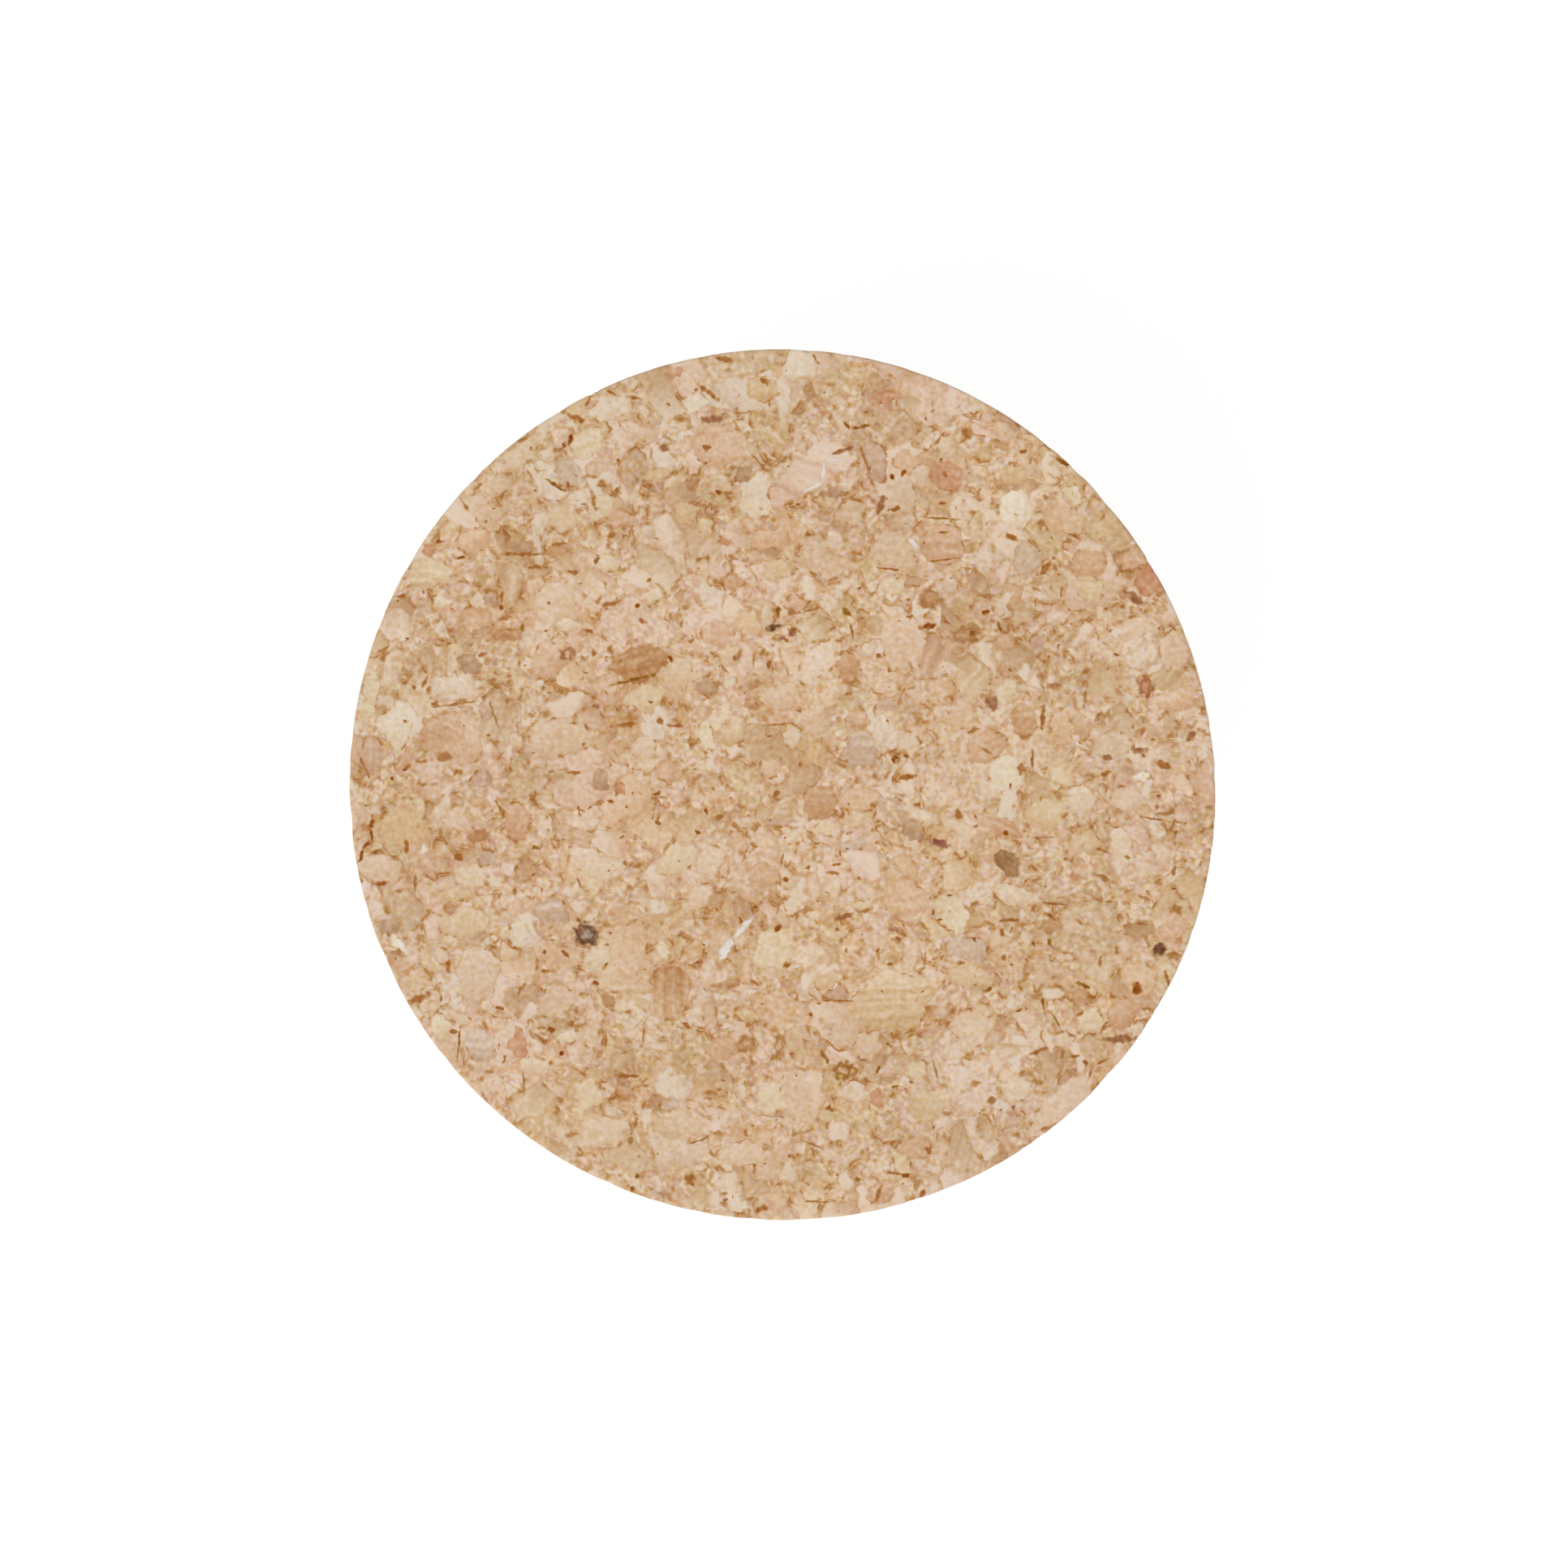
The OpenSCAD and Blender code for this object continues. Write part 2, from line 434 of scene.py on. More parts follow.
        (-22.0, -10.3, 1.7, 1.1, -50, 0.1), (-9.2, 15.1, 1.9, 1.3, 5, 0.4),
        (12.6, 8.1, 1.5, 1.2, 0, 0.2), (0.9, 10.3, 1.6, 1.0, 0, 0.3), (-1.1, -5.1, 1.7, 2.0, 90, 0.4),
        (-9.1, -17.5, 1.3, 0.9, 0, 0.2), (4.3, 3.7, 1.4, 1.3, 0, 0.8), (-18.8, 2.8, 3.9, 3.0, -30, 0.4),
        (-2.6, -3.5, 1.3, 1.7, 0, 0.4), (9.1, 13.9, 2.8, 2.7, 0, 0.4), (-6.6, 0.6, 1.5, 1.7, 90, 0.5),
        (-13.4, 7.0, 2.6, 2.2, 10, 0.1), (-20.3, -0.5, 2.1, 1.2, -10, 0.2),
        (7.7, -20.9, 2.0, 1.6, 0, 0.3), (22.2, -8.0, 1.8, 1.8, 0, 0.3), (5.6, -23.3, 2.2, 1.4, 10, 0.3),
        (17.3, 12.7, 2.2, 2.0, 0, 0.3), (20.0, 12.8, 1.5, 1.8, -50, 0.2), (-3.7, 8.7, 2.2, 1.8, 0, 0.2),
        (11.5, 2.3, 2.6, 2.2, 30, 0.4)),
    "mauve": (
        (-17.3, 0.2, 1.3, 1.5, 90, 0.8), (-23.6, 1.5, 1.5, 2.4, 0, 0.4), (5.2, 18.6, 1.4, 2.7, 12, 0.4),
        (14.5, 8.0, 1.0, 1.4, 0, 0.3), (3.1, -12.0, 1.6, 1.1, 0, 0.4), (6.2, -0.95, 1.9, 0.4, -10, 0.3),
        (-17.0, 4.4, 0.9, 1.5, 0, 0.2), (12.9, 20.8, 1.7, 0.8, -35, 0.3),
        (-16.8, 10.6, 1.1, 1.0, -20, 0.1), (5.9, 4.5, 1.5, 1.0, 0, 0.3),
        (-0.3, -2.1, 2.3, 0.8, 0, 0.3)),
    "ash": (
        (-13.3, -7.4, 2.1, 1.6, 5, 0.8), (13.8, 12.8, 1.7, 2.0, 0, 0.1), (3.9, -3.5, 1.9, 0.8, 12, 0.2),
        (-17.0, -4.3, 1.5, 1.0, 0, 0.3), (-6.6, -18.4, 1.3, 0.9, 0, 0.2),
        (10.7, -9.4, 3.0, 1.8, -10, 0.3), (-12.4, 17.7, 1.8, 1.9, 90, 0.5),
        (-17.4, -14.9, 2.1, 2.1, 0, 0.4), (4.3, 2.0, 1.8, 2.4, 0, 0.4)),
    "biscuit": (
        (3.7, 6.8, 1.4, 2.2, 0, 0.3), (-1.8, 4.6, 1.4, 0.9, 5, 0.3), (13.8, 3.7, 1.6, 2.0, 0, 0.6),
        (-6.5, -11.9, 3.0, 2.6, 90, 0.8), (12.6, 6.5, 1.4, 0.9, -10, 0.2),
        (8.4, 10.6, 1.2, 1.1, 90, 0.6), (-16.0, 8.6, 2.4, 0.8, 0, 0.3),
        (-12.9, 13.4, 1.7, 0.8, 12, 0.3), (17.0, -12.2, 1.3, 1.1, 30, 0.3),
        (15.3, -8.1, 1.3, 1.0, 0, 0.3), (2.1, -1.1, 1.8, 2.7, 0, 0.2), (-2.9, 11.5, 1.3, 1.0, 0, 0.1),
        (8.2, 18.5, 1.5, 1.2, 0, 0.3)),
    "russet": (
        (5.8, 22.2, 2.1, 0.9, 0, 0.3), (-3.5, 13.75, 1.3, 0.5, -5, 0.4),
        (-20.3, 13.3, 0.9, 0.9, 0, 0.1), (20.8, 11.7, 2.0, 1.6, -55, 0.3),
        (5.3, -17.9, 0.9, 1.3, 0, 0.2), (-15.2, -14.9, 1.0, 1.9, 10, 0.3),
        (-6.3, 23.5, 1.5, 0.8, 20, 0.3), (-9.4, -0.3, 0.9, 0.8, 0, 0.3), (20.7, 5.7, 1.0, 1.4, 10, 0.4),
        (9.4, 17.5, 2.0, 1.8, 0, 0.2)),
    "umber": (
        (-8.3, 6.8, 3.5, 2.1, 15, 0.5), (-5.2, 17.2, 0.8, 1.1, 0, 0.2),
        (-2.9, -11.4, 0.9, 0.7, 20, 0.3), (-1.7, 5.6, 1.0, 0.6, 10, 0.2),
        (-17.5, -3.0, 1.4, 0.9, 0, 0.3), (-9.9, -12.5, 0.8, 1.4, 10, 0.3)),
    "olive": (
        (-17.9, 6.9, 1.5, 1.2, -10, 0.1), (-2.3, 17.7, 1.3, 1.0, 0, 0.1),
        (7.3, -2.6, 1.8, 1.3, -20, 0.3), (2.9, 16.7, 2.3, 0.6, 0, 0.3),
        (-15.0, 13.6, 1.7, 0.8, -5, 0.2), (-22.6, -8.1, 1.4, 1.1, 0, 0.3),
        (-4.4, 5.5, 1.3, 1.1, -20, 0.3), (-10.5, 0.1, 1.2, 1.3, 0, 0.6)),
    "walnut": ((12.9, -4.5, 1.8, 1.4, -38, 0.1),),
    "slate": ((-11.3, -8.6, 1.3, 1.2, -30, 0.2),),
}
FLECK_SHADES = {                # shades of bark, cracks and fibres
    "soot": shade(104, 67, 43),
    "maroon": shade(142, 84, 64),
    "bark": shade(140, 72, 16),
    "moss": shade(144, 94, 30),
    "wine": shade(155, 104, 68),
    "brick": shade(164, 98, 50),
    "rust": shade(162, 104, 49),
    "chestnut": shade(168, 118, 68),
    "fibre": shade(227, 218, 208),
}
SPOTS = {                       # x, y, length, width in mm, turn in degrees
    "fibre": (
        (-3.3, -9.4, 1.6, 0.55, 60), (-2.3, -8.2, 1.5, 0.32, 48), (1.7, 17.0, 1.4, 0.22, 28),
        (2.25, 17.8, 1.1, 0.2, 85), (2.9, 18.55, 1.2, 0.2, 8), (7.4, 13.8, 0.8, 0.25, -50)),
    "soot": ((21.5, -9.5, 0.8, 0.7, -20), (-0.5, 9.0, 0.8, 0.35, 15)),
    "maroon": ((8.9, -3.4, 1.1, 0.45, -15),),
    "bark": (
        (-0.35, -8.25, 0.42, 0.4, 0), (0.1, -5.45, 0.36, 0.3, 0), (-6.5, 7.15, 0.3, 0.35, 0),
        (8.2, 9.0, 0.8, 0.28, 15), (6.2, 17.6, 0.4, 0.2, -50), (6.8, 17.8, 0.4, 0.25, 50),
        (-3.75, 16.7, 0.4, 0.22, -20), (12.7, -2.8, 0.28, 0.34, 0), (-23.6, -2.2, 0.8, 0.26, 80),
        (-23.6, -2.95, 0.8, 0.14, 100), (-23.9, -3.5, 0.55, 0.26, 40), (-24.15, -4.05, 0.7, 0.16, 70),
        (11.5, 9.85, 0.45, 0.3, 0), (-16.2, 10.15, 0.35, 0.28, 60), (-13.3, -14.05, 0.45, 0.25, -10),
        (-10.8, -11.4, 0.45, 0.2, 0), (-12.7, -15.4, 0.28, 0.28, 0), (-9.9, -1.0, 0.4, 0.22, -15),
        (7.0, -22.4, 0.45, 0.3, 0), (-8.4, 10.2, 0.3, 0.25, 0), (3.6, 20.5, 0.5, 0.22, -50),
        (20.2, -11.7, 0.55, 0.6, 0), (-12.2, 19.8, 0.55, 0.25, 80), (-4.95, -2.75, 0.4, 0.16, -20)),
    "moss": (
        (3.6, 9.8, 0.6, 0.3, -45), (3.85, 8.8, 1.1, 0.16, -75), (4.5, 20.45, 1.1, 0.18, 12),
        (-14.2, -3.65, 0.4, 0.25, 0), (-15.0, 8.95, 0.5, 0.25, 90), (15.2, -9.1, 0.6, 0.18, -60),
        (14.8, -12.5, 1.2, 0.13, -80), (15.6, -13.6, 1.0, 0.13, -65), (11.7, -11.8, 0.5, 0.2, 30),
        (-18.5, 12.95, 0.5, 0.22, 10), (-18.6, -14.8, 1.7, 0.12, 85), (-8.4, -22.4, 0.25, 0.3, 0),
        (-8.7, -23.2, 0.25, 0.3, 0), (15.8, 18.5, 1.0, 0.25, -30), (-13.1, 17.1, 1.2, 0.16, -35),
        (17.1, -11.5, 0.7, 0.25, -20), (6.4, -17.3, 0.6, 0.16, 8), (4.2, -22.6, 0.28, 0.25, 0),
        (-0.3, 9.9, 0.7, 0.28, 80), (12.35, 9.0, 0.6, 0.18, -70), (0.2, -10.4, 0.35, 0.2, 20),
        (-8.5, 6.0, 2.6, 0.16, 14), (22.4, -2.8, 0.4, 0.18, 80)),
    "wine": (
        (11.9, 4.7, 1.1, 0.6, -65), (20.4, 1.9, 0.9, 0.35, 0), (23.3, 2.75, 0.8, 0.35, 40),
        (18.5, 1.5, 0.5, 0.35, -20), (20.1, 10.6, 1.4, 0.45, -35), (-4.0, 20.9, 1.3, 0.5, 5),
        (5.5, 15.9, 1.1, 0.4, 75), (-10.75, 4.5, 0.45, 0.35, 0), (14.2, 1.4, 0.9, 0.2, 90),
        (19.2, -14.6, 1.8, 0.4, 0), (3.4, -7.6, 1.0, 0.35, 15), (6.3, -8.3, 0.6, 0.3, 0),
        (-6.9, 19.2, 0.6, 0.4, 0), (3.4, 19.1, 1.2, 0.2, 20), (-2.7, 7.2, 0.4, 0.35, 0),
        (0.5, 8.7, 0.55, 0.4, 60), (-0.1, 8.35, 0.5, 0.22, 20)),
    "brick": (
        (-7.1, 3.6, 0.4, 0.32, -30), (-6.2, 3.35, 0.9, 0.2, 0), (-21.9, 10.75, 0.4, 0.22, 20),
        (-23.1, -5.7, 1.0, 0.3, 10), (-11.2, 8.75, 0.5, 0.25, 0), (8.3, -20.9, 0.35, 0.4, 0),
        (5.9, 12.3, 1.4, 0.1, -8), (-8.1, 9.3, 0.6, 0.25, -25), (1.35, 14.3, 0.35, 0.28, 0),
        (-5.6, -13.8, 0.5, 0.2, -30)),
    "rust": (
        (9.0, 15.2, 2.1, 0.12, -4), (9.2, 14.4, 0.6, 0.12, 5), (9.0, 12.8, 1.9, 0.11, 8),
        (-9.0, 3.4, 1.4, 0.3, 8), (10.0, -1.75, 0.45, 0.5, 0), (7.0, 0.4, 0.9, 0.35, 10),
        (3.0, -4.6, 0.5, 0.14, 5), (2.8, -5.1, 0.7, 0.2, 0), (1.4, -4.8, 0.3, 0.25, 0),
        (4.3, -5.4, 0.3, 0.22, 0), (5.4, 7.35, 0.28, 0.25, 0), (-3.65, -1.9, 0.5, 0.25, 35),
        (-0.45, -0.6, 0.35, 0.3, 0), (5.1, -1.2, 0.35, 0.35, 0), (7.7, -1.15, 0.3, 0.2, 0),
        (3.1, -12.4, 1.8, 0.11, 0), (2.35, -15.6, 1.1, 0.2, -60), (6.6, -22.3, 1.0, 0.14, -10),
        (5.4, -23.4, 0.9, 0.25, 75), (-1.3, -24.3, 0.8, 0.35, 20), (-1.7, -21.95, 0.5, 0.22, 90),
        (-5.4, -22.6, 0.7, 0.5, 90), (7.9, -23.5, 0.5, 0.3, 70), (6.1, -10.3, 0.4, 0.2, 0),
        (-9.1, -16.7, 1.4, 0.22, 0), (-20.9, -12.3, 1.3, 0.4, 20), (-12.2, -13.7, 0.4, 0.35, 0),
        (-13.8, -13.95, 0.7, 0.1, 0), (-19.2, -10.4, 0.8, 0.22, 80), (-13.65, -10.7, 0.45, 0.22, 0),
        (-12.0, 0.65, 0.9, 0.2, 0), (-13.3, 0.7, 0.4, 0.25, 0), (-18.6, -4.15, 0.55, 0.4, 0),
        (-16.3, -1.3, 0.7, 0.14, -60), (-21.6, -3.6, 0.8, 0.25, 80), (-11.8, 20.9, 1.1, 0.3, -25),
        (-11.2, 21.9, 0.7, 0.16, 55), (-9.8, 22.35, 0.8, 0.14, -20), (-8.6, 22.1, 0.8, 0.2, -10),
        (-10.4, 17.2, 0.6, 0.35, 20), (-9.5, 18.5, 0.3, 0.25, 0), (-9.5, 16.85, 0.35, 0.22, 0),
        (-12.8, 13.75, 0.9, 0.22, 0), (-15.0, 13.15, 2.2, 0.2, 0), (-16.15, 10.6, 0.6, 0.2, 80),
        (-10.0, 10.3, 0.9, 0.3, 15), (-12.1, 12.1, 0.45, 0.2, -10), (-10.9, 7.5, 0.35, 0.25, 90),
        (-17.2, 7.4, 0.5, 0.25, 20), (-4.3, 22.4, 1.6, 0.25, -38), (-3.4, 24.3, 0.9, 0.3, -15),
        (10.4, 20.1, 0.6, 0.5, 0), (9.2, 17.7, 0.28, 0.28, 0), (9.1, 16.05, 0.4, 0.14, 0),
        (13.05, 14.1, 0.7, 0.28, -30), (15.0, 12.4, 1.0, 0.3, 55), (15.85, 11.0, 0.6, 0.18, 90),
        (19.35, 10.15, 0.32, 0.25, 0), (16.5, 14.2, 0.9, 0.13, -25), (14.8, 3.8, 1.5, 0.25, 88),
        (21.7, 1.1, 0.8, 0.45, -20), (20.8, 5.2, 0.6, 0.4, 70), (17.2, 6.4, 0.7, 0.25, 35),
        (18.4, 0.6, 0.8, 0.22, 20), (18.2, -3.8, 0.7, 0.14, -20), (15.4, -6.85, 1.3, 0.11, -5),
        (21.2, -2.0, 1.6, 0.13, -10), (22.3, -4.9, 0.7, 0.22, 80), (12.9, -7.8, 1.1, 0.2, 0),
        (12.45, -8.5, 0.4, 0.25, 90), (15.3, -7.6, 0.6, 0.25, -30), (14.5, -15.3, 1.1, 0.2, 22),
        (16.6, -15.6, 0.6, 0.18, 10), (18.2, -15.9, 1.0, 0.16, 30), (21.9, -11.1, 1.0, 0.22, -70),
        (17.6, -12.2, 0.5, 0.2, 0), (-11.7, -5.7, 0.6, 0.14, -70), (-0.1, -4.3, 0.8, 0.12, 80)),
    "chestnut": (
        (-19.4, 1.55, 0.7, 0.6, 0), (14.7, 14.85, 0.5, 0.35, 80), (11.6, 10.75, 0.7, 0.25, 0),
        (20.7, 6.2, 0.45, 0.3, 0), (15.4, 5.6, 0.9, 0.35, 0), (17.2, 4.9, 0.8, 0.22, 85),
        (13.6, 0.9, 0.5, 0.5, 0), (18.3, -5.4, 1.0, 0.25, -25), (14.9, -3.05, 1.0, 0.1, 0),
        (21.7, -1.7, 1.0, 0.2, 5), (22.3, -9.8, 0.9, 0.4, -15), (12.6, -9.9, 0.35, 0.3, 90),
        (18.3, -13.9, 0.7, 0.25, 60), (18.1, -10.2, 0.7, 0.2, 85), (17.5, -16.6, 0.8, 0.16, 75),
        (11.9, -18.1, 0.5, 0.45, 0), (8.65, -16.4, 1.1, 0.13, -75), (22.5, -7.2, 0.8, 0.5, 0),
        (-21.1, -5.6, 0.9, 0.18, 90), (-15.4, -6.2, 0.5, 0.22, 90), (-15.0, -11.7, 0.7, 0.2, 55),
        (-14.9, -17.0, 1.3, 0.13, -85), (-8.8, -20.4, 0.4, 0.3, 70), (-18.3, 16.0, 0.7, 0.2, -60),
        (-17.5, 17.0, 0.6, 0.22, 40), (-3.5, 11.4, 0.7, 0.14, -70), (1.2, 9.9, 1.4, 0.13, 10),
        (-20.5, 5.9, 0.9, 0.16, 65), (-18.6, 4.6, 2.4, 0.11, 8), (-16.6, 4.0, 1.6, 0.12, -70),
        (-24.0, 1.0, 1.4, 0.15, -65), (4.6, 18.6, 1.4, 0.18, -70), (-0.4, 3.4, 1.6, 0.12, 5),
        (-4.9, -20.4, 1.2, 0.12, 15), (1.6, -20.6, 1.1, 0.14, -20), (2.0, -23.9, 1.8, 0.12, 0),
        (0.35, 9.9, 0.8, 0.25, -30), (1.3, 10.2, 0.7, 0.22, 50), (10.9, 3.1, 0.7, 0.2, 20),
        (11.6, 1.9, 0.6, 0.2, -30), (-2.6, 7.4, 0.5, 0.2, 60), (-3.4, 6.6, 0.6, 0.2, -50)),
}
RINGS = {                       # x, y, length, width in mm, turn in degrees
    "soot": ((-11.3, -8.6, 1.35, 1.15, -30),),
    "wine": ((-12.4, 7.4, 0.75, 0.7, 0), (20.7, 5.5, 0.8, 1.1, 0)),
    "chestnut": (
        (-2.15, -14.85, 1.0, 0.9, 0), (-0.25, -14.9, 1.2, 0.6, 80), (10.5, 8.6, 1.8, 1.0, 15),
        (-0.9, 18.1, 0.7, 0.5, 0), (8.4, 10.6, 1.2, 1.1, 0), (-4.2, 15.6, 0.7, 0.8, 0)),
    "moss": ((3.4, -16.4, 1.0, 1.0, -30),),
}
FLECK_DEPTH = 2.2               # depth of shade in the middle of a fleck
RING_OPEN = 0.95                # how clear the middle of a ring is
FOR_RELIEF = "_here"            # ends the names of the marks that the relief reads
MARK_DEEP = 0.9                 # how far a mark goes down into the cork, in mm
MARKED_LAYER = 2                # what lies this near the top face takes marks, in mm
FAR_AWAY = 1000.0               # where the rest's marks lie, in mm


def write_marks(layers, name, marks, domain, places):
    """Writes on each face or point the mark that it lies in or nearest to, as three attributes."""
    x, y, z = places.T / MM
    best = np.where(z > HEIGHT / MM - MARKED_LAYER, np.inf, 0.0)
    place = np.full((len(z), 3), (FAR_AWAY, FAR_AWAY, 0.0))
    form = np.full((len(z), 3), (1.0, 1.0, 0.0))
    tone = np.zeros((len(z), 3))
    for colour, mark_x, mark_y, length, width, turn, finish in marks:
        angle = math.radians(turn)
        along = ((x - mark_x) * math.cos(angle) + (y - mark_y) * math.sin(angle)) / (length / 2)
        across = ((y - mark_y) * math.cos(angle) - (x - mark_x) * math.sin(angle)) / (width / 2)
        reach = np.hypot(along, across)
        nearer = reach < best
        best[nearer] = reach[nearer]
        place[nearer] = (mark_x, mark_y, angle)
        form[nearer] = (length / 2, width / 2, finish)
        tone[nearer] = colour[:3]
    for part, values in (("place", place), ("form", form), ("shade", tone)):
        layers.new(f"{name}_{part}", "FLOAT_VECTOR", domain).data.foreach_set("vector", values.ravel())


def thinned(colour):
    """What a fleck's colour is before its depth of shade darkens it."""
    return [part ** (1 / FLECK_DEPTH) for part in colour]


def lay_marks(piece):
    """Writes the flakes and the flecks on the faces, for the material, and on the points, for the relief."""
    mesh = piece.data
    flakes = [(FLAKE_SHADES[name], *mark) for name, marks in FLAKES.items() for mark in marks]
    flecks = [(thinned(FLECK_SHADES[name]), *mark, hollow)
              for kind, hollow in ((SPOTS, 0.0), (RINGS, RING_OPEN))
              for name, marks in kind.items() for mark in marks]
    for domain, places, ending in (("FACE", points_of(mesh.polygons, "center"), ""),
                                   ("POINT", points_of(mesh.vertices, "co"), FOR_RELIEF)):
        write_marks(mesh.attributes, "flake" + ending, flakes, domain, places)
        write_marks(mesh.attributes, "fleck" + ending, flecks, domain, places)


def in_mark(make, place, spot, form):
    """Where a place lies in a mark, as parts of its half sizes from its middle."""
    middle = make.join(spot[0], spot[1], HEIGHT / MM)
    turned = make.node("ShaderNodeVectorRotate", {
        "Vector": make.vector("SUBTRACT", place, middle),
        "Angle": make.calc("MULTIPLY", spot[2], -1.0)}, rotation_type="Z_AXIS").outputs[0]
    return make.vector("DIVIDE", turned, make.join(form[0], form[1], MARK_DEEP))


# ---------------------------------------------------------------- the pattern of granules
# Sizes in mm
FINES = 0.42                    # crushed fines that fill the gaps
CRUMB = 0.36                    # crumbs between the granules
SPECK = 0.9                     # spacing of the specks of bark
SPECK_SHARE = 0.08              # share of the cells that hold a speck
SINK = 0.05                     # how deep the darkest seams and specks lie, in mm
NO_SHIFT = (0.0, 0.0, 0.0)
HALF = (0.5, 0.5, 0.5)
GRANULES = (
    # size in mm, share of the cells that hold one granule, stretch, turn of the stretch in degrees,
    # and how far its shade may go from the middle one
    (0.75, 0.60, 1.6, 20, 1.0),
    (1.20, 0.50, 1.5, 100, 1.0),
    (1.80, 0.36, 1.4, 60, 0.93),
    (3.00, 0.20, 1.3, 150, 0.8),
    (0.85, 0.10, 1.5, 75, 1.0),
)
GRANULE_HUES = (
    (0.00, CORK["grey"]), (0.10, CORK["tan"]), (0.24, CORK["pink"]), (0.36, CORK["rose"]),
    (0.45, CORK["tan"]), (0.60, CORK["orange"]), (0.74, CORK["yellow"]), (0.84, CORK["straw"]),
    (1.00, CORK["tan"]))
# How a granule's draw sets its depth of shade: most lie near the middle, and a few are far darker
DEPTH_BENDS = ((0.0, 0.27), (0.15, 0.36), (0.5, 0.42), (0.8, 0.48), (0.94, 0.56), (1.0, 0.80))


class PressedCork:
    """Nodes for the hue, depth of shade and height of pressed cork at a place in millimetres.

    read gives the attributes of the nearest marks. The parts are pressed and laid one over another, so
    each method takes up what the ones before it have left.
    """

    def __init__(self, make, place, read):
        self.make = make
        self.place = place
        self.read = read
        self.gentle = self.drift(1.7, 1)
        self.rough = self.drift(0.35, 0.5)
        self.bent = self.shifted(1.0, 0.26)
        self.crush_fines()
        for number, granules in enumerate(GRANULES):
            self.press_granules(number, *granules)
        self.lay_flakes()
        self.set_coarseness()
        self.draw_growth_lines()
        self.deepen()
        self.darken_seams()
        self.scatter_bark()
        self.colour()
        self.lay_flecks()
        self.height = make.calc("MULTIPLY", make.calc("MAXIMUM", self.dark, self.bark), -SINK)

    def drift(self, size, detail):
        """A colour of noise whose three parts swing about nothing."""
        noise_colour = self.make.cloud(self.place, size, detail)["Color"]
        return self.make.vector("SUBTRACT", noise_colour, HALF)

    def shifted(self, gently, roughly):
        """The place, moved by so much of the gentle drift and of the rough one."""
        make = self.make
        shift = make.vector("ADD", make.vector("SCALE", self.gentle, gently),
                            make.vector("SCALE", self.rough, roughly))
        return make.vector("ADD", self.place, shift)

    def crush_fines(self):
        """Fills everything with fines, before any granule is pressed in."""
        make = self.make
        self.fines = make.cells(self.bent, FINES)
        self.fines_edge = make.from_edge(self.bent, FINES)
        self.fines_in = make.fade(self.fines_edge, 0.0, 0.07)
        drawn = make.draw(self.fines["Color"])
        self.chance = make.blend(self.fines_in, HALF, drawn["Color"], "VECTOR")
        self.level = make.blend(self.fines_in, 0.5, drawn["Value"], "FLOAT")
        self.inside = NO_SHIFT
        self.edge = 1.0
        self.loose = 1.0
        self.reach = 1.0

    def press_granules(self, number, width, share, stretch, turn, reach):
        """Presses in granules of one size, over those before them."""
        make = self.make
        turned = make.node("ShaderNodeVectorRotate", {
            "Vector": self.bent, "Axis": (0.3, -0.2, 1.0), "Angle": math.radians(turn)}).outputs[0]
        squeeze = (1 / stretch, 1.0, 1 / stretch)
        apart = (13.0 * number, 4.0 - 7 * number, 7.0)
        moved = make.vector("MULTIPLY_ADD", turned, squeeze, apart)
        cell = make.cells(moved, width)
        granule = cell["Color"]
        offset = make.vector("SCALE", make.vector("SUBTRACT", moved, cell["Position"]), 1 / width)
        rim = make.from_edge(moved, width)
        held = make.calc("LESS_THAN", make.parts(granule)[0], share)
        self.edge = make.blend(held, self.edge, rim, "FLOAT")
        # it blends into what lies round it over a tenth of a millimetre
        soft = make.calc("MULTIPLY", held, make.fade(rim, 0.0, 0.1))
        drawn = make.draw(granule)
        self.chance = make.blend(soft, self.chance, drawn["Color"], "VECTOR")
        self.level = make.blend(soft, self.level, drawn["Value"], "FLOAT")
        self.inside = make.blend(soft, self.inside, offset, "VECTOR")
        self.reach = make.blend(soft, self.reach, reach, "FLOAT")
        self.loose = make.calc("MULTIPLY", self.loose, make.calc("SUBTRACT", 1.0, soft))

    def lay_flakes(self):
        """Lays the flakes, each an oval with three corners cut off."""
        make = self.make
        spot = make.parts(self.read("flake_place"))
        form = make.parts(self.read("flake_form"))
        to_fine = make.vector("SUBTRACT", self.fines["Position"], self.bent)
        wavy = make.vector("ADD", self.shifted(0.45, 0.22), make.vector("SCALE", to_fine, 0.4))
        flake = in_mark(make, wavy, spot, form)
        drawn = make.draw(self.read("flake_place"))["Color"]
        out = make.calc("MULTIPLY", make.vector("LENGTH", flake), 0.93)
        for share in make.parts(drawn):
            angle = make.calc("MULTIPLY", share, math.tau)
            way = make.join(make.calc("COSINE", angle), make.calc("SINE", angle))
            cut = make.calc("MULTIPLY", make.vector("DOT_PRODUCT", flake, way), 1.25)
            out = make.calc("MAXIMUM", out, cut)
        rim = make.calc("MULTIPLY", make.calc("SUBTRACT", 1.0, out), form[1])
        self.laid = make.fade(rim, 0.0, 0.12)
        self.edge = make.blend(make.calc("GREATER_THAN", rim, 0.0), self.edge, rim, "FLOAT")
        self.chance = make.blend(self.laid, self.chance, drawn, "VECTOR")
        self.inside = make.blend(self.laid, self.inside, make.vector("SCALE", flake, 0.5), "VECTOR")
        self.loose = make.calc("MULTIPLY", self.loose, make.calc("SUBTRACT", 1.0, self.laid))
        self.flake_turn = spot[2]
        self.flake_grain = form[2]

